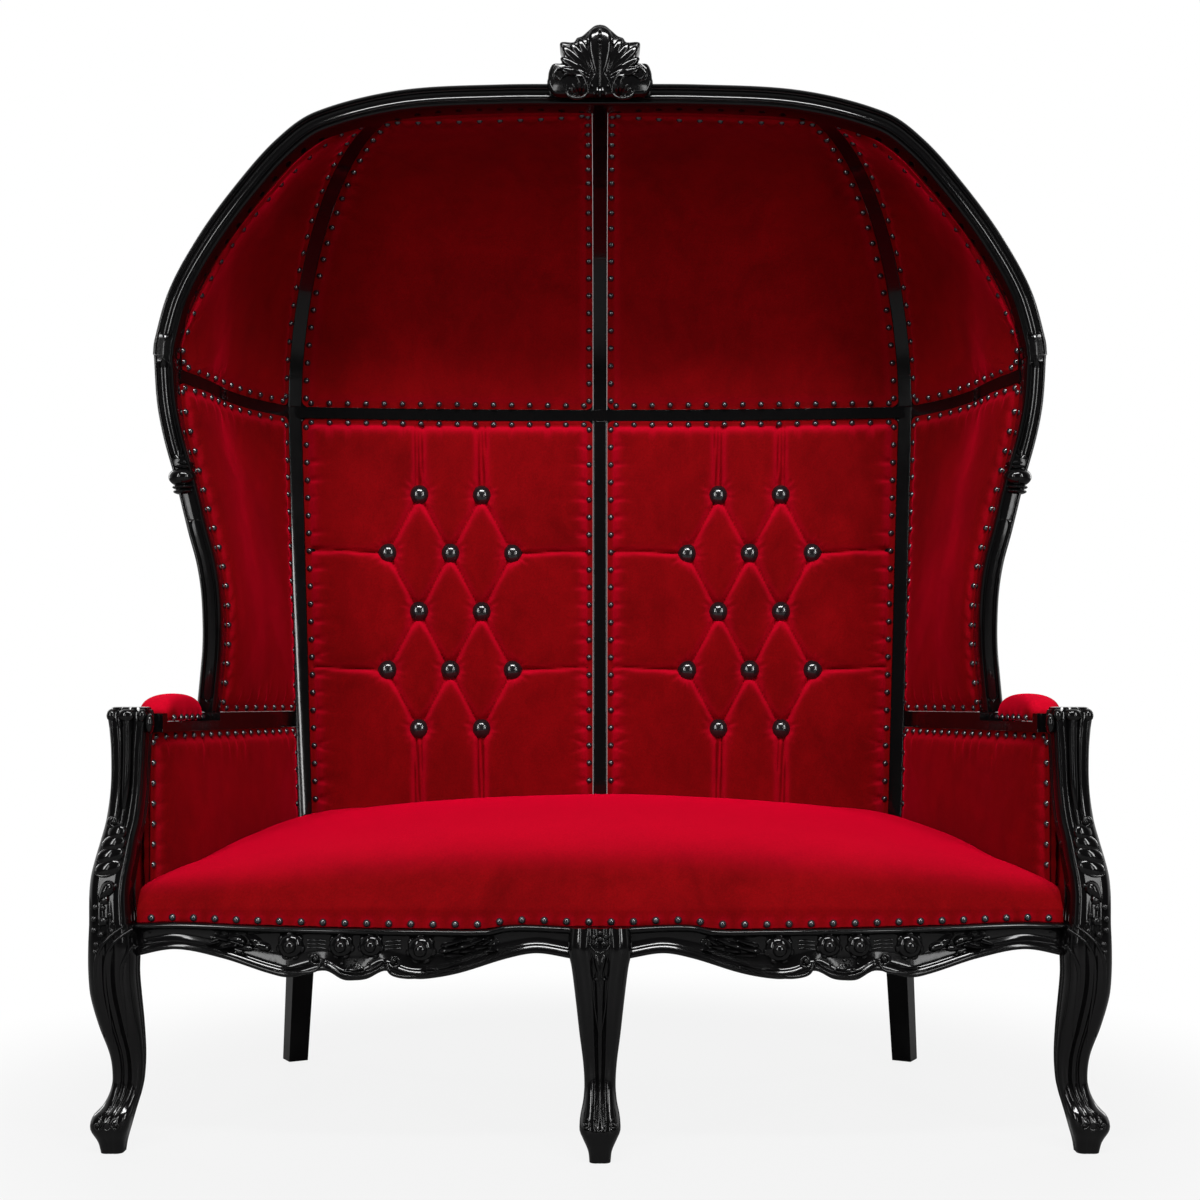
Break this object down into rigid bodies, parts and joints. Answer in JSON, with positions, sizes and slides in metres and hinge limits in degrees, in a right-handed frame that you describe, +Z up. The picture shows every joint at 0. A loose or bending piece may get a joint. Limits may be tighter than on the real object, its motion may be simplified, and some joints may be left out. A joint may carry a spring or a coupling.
{
  "type": "canopy throne settee",
  "caption": "Hooded settee for people to sit side by side: black carved and moulded frame, velvet panels, button-tufted back, domed tight seat and cabriole legs.",
  "frame": {"origin": "on the floor, under the middle of the settee's bounding box", "axes": "+X across the seat towards the sitter's left, which is the right in the picture; +Y from the front to the back; +Z up from the floor"},
  "size_m": [1.4906, 0.7676, 1.718],
  "materials": {
    "lacquer": "high-gloss black lacquer",
    "velvet": "crimson pile velvet over padding",
    "outside_velvet": "crimson pile velvet on the outside of the frame",
    "bare_wood": "bare hardwood inside the seat frame",
    "webbing": "woven webbing",
    "dust_cloth": "thin black cloth",
    "dome_nail": "glossy gunmetal",
    "button": "glossy black"
  },
  "bodies": {
    "root": {"front_leg_left": "lacquer", "front_leg_right": "lacquer", "rear_post_left": "lacquer", "rear_post_right": "lacquer", "front_rail_left": "lacquer", "front_rail_right": "lacquer", "arm_support_left": "lacquer", "arm_support_right": "lacquer", "arm_left": "lacquer", "arm_right": "lacquer", "stile_left": "lacquer", "stile_right": "lacquer", "arch_left": "lacquer", "arch_right": "lacquer", "side_mid_rail_left": "lacquer", "side_mid_rail_right": "lacquer", "hood_rib_left": "lacquer", "hood_rib_right": "lacquer", "center_front_leg": "lacquer", "crest": "lacquer", "center_back_post": "lacquer", "back_mid_rail": "lacquer", "hood_rib_center": "lacquer", "side_seat_rail_left": "lacquer", "side_seat_rail_right": "lacquer", "back_seat_rail": "lacquer", "back_pad_left": "velvet", "back_pad_right": "velvet", "side_pad_left": "velvet", "side_pad_right": "velvet", "arm_panel_left": "velvet", "arm_panel_right": "velvet", "arm_pad_left": "velvet", "arm_pad_right": "velvet", "hood_pad_left": "velvet", "hood_pad_right": "velvet", "hood_side_pad_left": "velvet", "hood_side_pad_right": "velvet", "seat_pad": "velvet", "back_cover_left": "outside_velvet", "back_cover_right": "outside_velvet", "side_cover_left": "outside_velvet", "side_cover_right": "outside_velvet", "arm_cover_left": "outside_velvet", "arm_cover_right": "outside_velvet", "hood_cover_left": "outside_velvet", "hood_cover_right": "outside_velvet", "hood_side_cover_left": "outside_velvet", "hood_side_cover_right": "outside_velvet", "seat_brace": "bare_wood", "corner_blocks": "bare_wood", "frame_dowels": "bare_wood", "seat_webbing": "webbing", "dust_cover": "dust_cloth", "back_nails": "dome_nail", "hood_nails": "dome_nail", "wing_nails": "dome_nail", "arm_nails": "dome_nail", "seat_nails": "dome_nail", "tuft_buttons": "button"}
  },
  "joints": []
}
